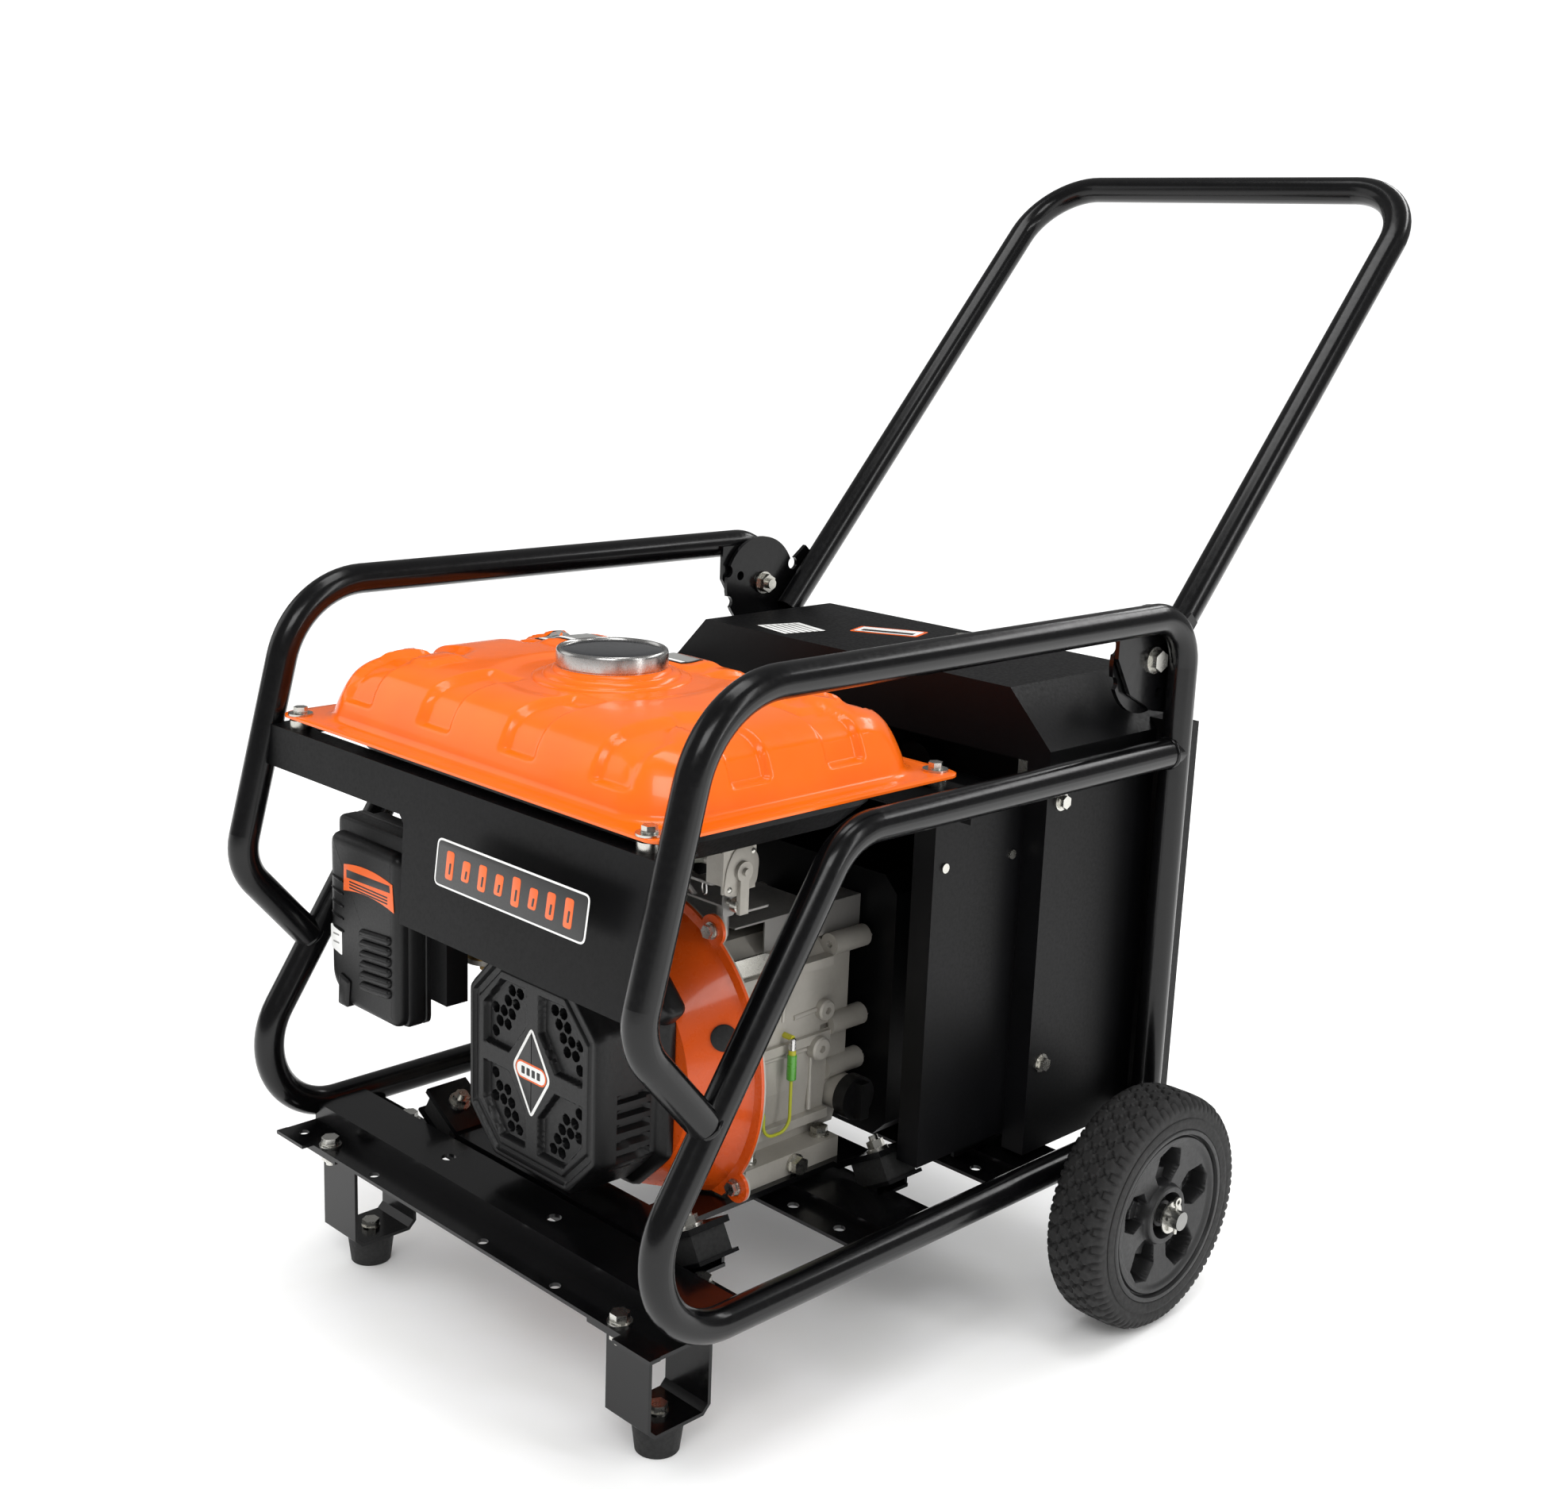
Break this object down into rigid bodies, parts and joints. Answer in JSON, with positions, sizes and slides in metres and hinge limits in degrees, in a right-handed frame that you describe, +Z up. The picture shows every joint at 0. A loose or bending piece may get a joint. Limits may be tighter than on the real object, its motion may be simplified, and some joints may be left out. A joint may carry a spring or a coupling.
{
  "type": "portable generator",
  "caption": "Portable petrol generator in a tubular steel frame with wheels, a folding push handle, a recoil starter and a rear outlet panel.",
  "frame": {"origin": "on the ground, midway between the side frames, in the middle of the overall box", "axes": "+X to the right side, -Y to the recoil starter, +Y to the wheels and the push handle, +Z up"},
  "size_m": [0.704, 0.9962, 0.9622],
  "materials": {
    "frame_black": "gloss powder coat",
    "panel_black": "satin powder coat",
    "tank_orange": "gloss enamel",
    "zinc_steel": "bright zinc plate",
    "shaft_steel": "machined",
    "die_cast": "bead blasted",
    "tin_grey": "satin",
    "iron": "raw",
    "black_plastic": "fine grain",
    "hub_plastic": "satin",
    "rubber": "matte",
    "tyre": "matte",
    "wire": "green and yellow cover"
  },
  "bodies": {
    "frame": {"air_cleaner_case": "black_plastic", "air_cleaner_cover": "black_plastic", "alternator_housing": "panel_black", "axle": "shaft_steel", "base_hoop_left": "frame_black", "base_hoop_right": "frame_black", "blower_housing": "tank_orange", "carburettor": "die_cast", "control_panel": "panel_black", "crankcase": "die_cast", "crankcase_cover": "die_cast", "cross_channels": "frame_black", "cylinder_head": "die_cast", "cylinder_shroud": "tin_grey", "enclosure_fasteners": "zinc_steel", "enclosure_hood": "panel_black", "enclosure_inner_shell": "panel_black", "enclosure_sides": "panel_black", "engine_cradle": "frame_black", "engine_fasteners": "zinc_steel", "front_channel": "frame_black", "front_legs": "frame_black", "front_panel": "panel_black", "fuel_hose": "rubber", "fuel_valve_body": "die_cast", "leg_bolts": "zinc_steel", "leg_feet": "rubber", "muffler": "tin_grey", "outlet_sockets": "black_plastic", "panel_fittings": "zinc_steel", "pivot_bolts": "zinc_steel", "recoil_cover": "black_plastic", "rubber_mounts": "rubber", "sensor_wire": "wire", "stator": "iron", "tank_bolts": "zinc_steel", "tank_lower": "panel_black", "tank_rear_bracket": "panel_black", "tank_upper": "tank_orange", "top_hoop_left": "frame_black", "top_hoop_right": "frame_black", "wheel_retainers": "zinc_steel"},
    "handle": {"handle": "frame_black"},
    "wheel_left": {"rim_left": "hub_plastic", "tyre_left": "tyre"},
    "wheel_right": {"rim_right": "hub_plastic", "tyre_right": "tyre"},
    "crank": {"crankshaft": "shaft_steel", "flywheel_fan": "iron", "rotor": "iron"},
    "reel": {"starter_reel": "black_plastic"},
    "grip": {"starter_grip": "black_plastic"},
    "fuel_cap": {"fuel_cap": "black_plastic"},
    "fuel_lever": {"fuel_valve_lever": "die_cast"},
    "choke": {"choke_lever": "tin_grey"},
    "oil_cap": {"oil_cap": "black_plastic"},
    "lid_left": {"outlet_lid_left": "black_plastic"},
    "lid_right": {"outlet_lid_right": "black_plastic"},
    "switch": {"engine_switch": "black_plastic"},
    "breaker": {"breaker_button": "black_plastic"}
  },
  "joints": [
    {"name": "handle_fold", "type": "hinge", "parent": "frame", "child": "handle", "pos_m": [0, 0.0855, 0.5517], "axis": [1, 0, 0], "range_deg": [0, 131.7]},
    {"name": "wheel_left_spin", "type": "hinge", "parent": "frame", "child": "wheel_left", "pos_m": [-0.312, 0.0292, 0.102], "axis": [1, 0, 0], "continuous": true},
    {"name": "wheel_right_spin", "type": "hinge", "parent": "frame", "child": "wheel_right", "pos_m": [0.312, 0.0292, 0.102], "axis": [1, 0, 0], "continuous": true},
    {"name": "crank_spin", "type": "hinge", "parent": "frame", "child": "crank", "pos_m": [0.014, -0.1878, 0.236], "axis": [0, 1, 0], "continuous": true},
    {"name": "grip_pull", "type": "slide", "parent": "frame", "child": "grip", "axis": [0.7071, 0, 0.7071], "range_m": [0, 0.08], "stiffness_N_per_m": 60, "springref_m": -0.05},
    {"name": "reel_turn", "type": "hinge", "parent": "frame", "child": "reel", "pos_m": [0.014, -0.3368, 0.236], "axis": [0, 1, 0], "range_deg": [0, 223]},
    {"name": "fuel_cap_turn", "type": "hinge", "parent": "frame", "child": "fuel_cap", "pos_m": [0, -0.3008, 0.556], "axis": [0, 0, 1], "range_deg": [0, 90]},
    {"name": "fuel_lever_turn", "type": "hinge", "parent": "frame", "child": "fuel_lever", "pos_m": [0.1365, -0.2818, 0.412], "axis": [1, 0, 0], "range_deg": [0, 90]},
    {"name": "choke_turn", "type": "hinge", "parent": "frame", "child": "choke", "pos_m": [-0.09, -0.3358, 0.342], "axis": [1, 0, 0], "range_deg": [0, 60]},
    {"name": "oil_cap_turn", "type": "hinge", "parent": "frame", "child": "oil_cap", "pos_m": [0.128, -0.1328, 0.182], "axis": [1, 0, 0], "range_deg": [0, 90]},
    {"name": "lid_left_flip", "type": "hinge", "parent": "frame", "child": "lid_left", "pos_m": [-0.15, 0.1432, 0.424], "axis": [1, 0, 0], "range_deg": [0, 100], "stiffness_Nm_per_rad": 0.01, "springref_deg": -28.65},
    {"name": "lid_right_flip", "type": "hinge", "parent": "frame", "child": "lid_right", "pos_m": [-0.04, 0.1432, 0.424], "axis": [1, 0, 0], "range_deg": [0, 100], "stiffness_Nm_per_rad": 0.01, "springref_deg": -28.65},
    {"name": "switch_rock", "type": "hinge", "parent": "frame", "child": "switch", "pos_m": [0.09, 0.1322, 0.42], "axis": [1, 0, 0], "range_deg": [-9, 9]},
    {"name": "breaker_push", "type": "slide", "parent": "frame", "child": "breaker", "axis": [0, -1, 0], "range_m": [0, 0.004], "stiffness_N_per_m": 800, "springref_m": -0.001}
  ],
  "couplings": [
    {"joint": "reel_turn", "follows": "grip_pull", "rad_per_m": 48.544}
  ]
}
